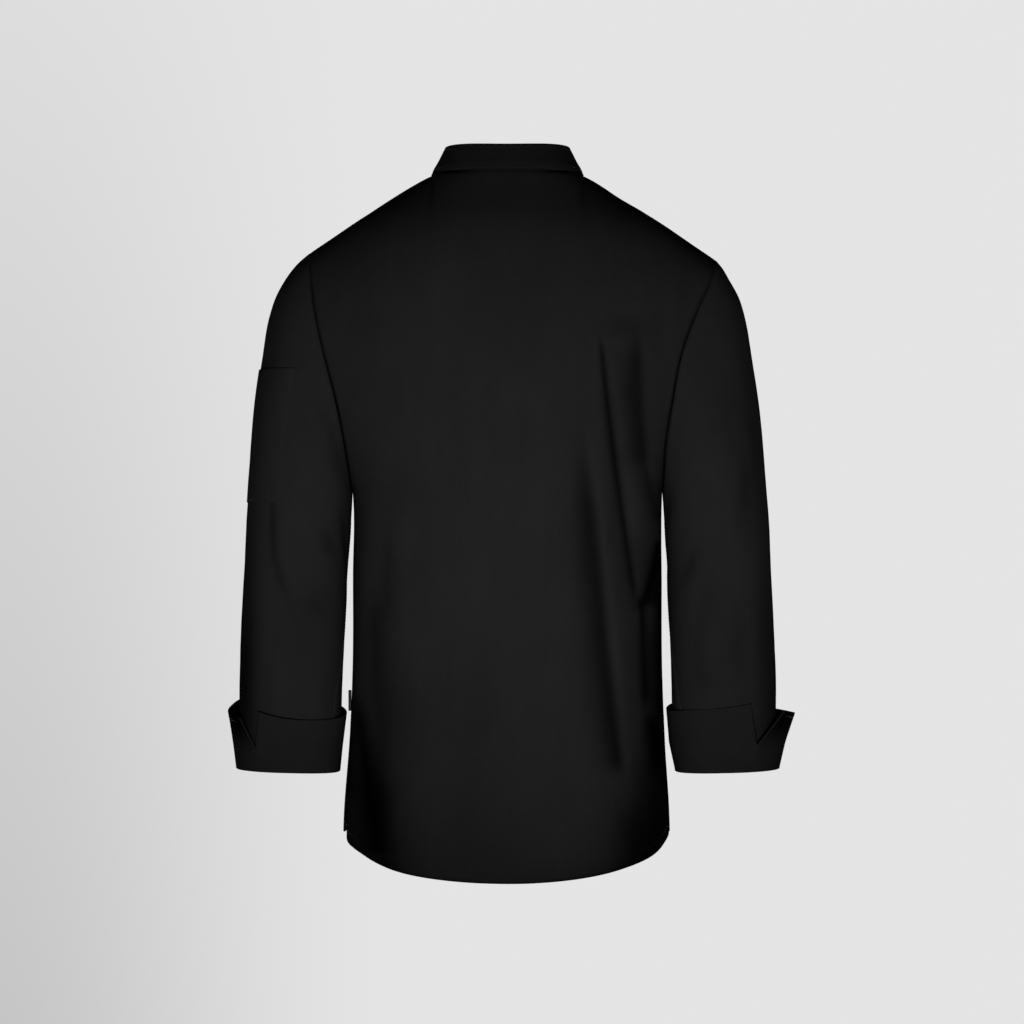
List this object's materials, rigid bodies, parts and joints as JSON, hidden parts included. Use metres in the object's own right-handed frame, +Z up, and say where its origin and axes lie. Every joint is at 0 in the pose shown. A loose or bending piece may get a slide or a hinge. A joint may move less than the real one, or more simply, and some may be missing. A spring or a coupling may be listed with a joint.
{
  "type": "chef jacket",
  "caption": "Black chef jacket, worn and hollow, with a stand collar, double-breasted front, sleeve pen pocket, turned-back V-slit cuffs and a shirt-tail back hem.",
  "frame": {"origin": "middle of the neck base, level with the side neck points, where the wearer's neck and shoulders carry the jacket", "axes": "+Z up through the neck, +X to the wearer's left, front facing -Y"},
  "size_m": [0.6238, 0.2731, 0.794],
  "materials": {
    "cloth": "matt black cotton twill",
    "buttons": "satin black"
  },
  "bodies": {
    "root": {"back_panel": "cloth", "left_front": "cloth", "right_front": "cloth", "collar": "cloth", "neck_facing": "cloth", "left_sleeve": "cloth", "right_sleeve": "cloth", "left_cuff": "cloth", "right_cuff": "cloth", "pen_pocket": "cloth", "side_tab": "cloth", "button_left_1": "buttons", "button_left_2": "buttons", "button_left_3": "buttons", "button_left_4": "buttons", "button_left_5": "buttons", "button_right_1": "buttons", "button_right_2": "buttons", "button_right_3": "buttons", "button_right_4": "buttons", "button_right_5": "buttons"}
  },
  "joints": []
}
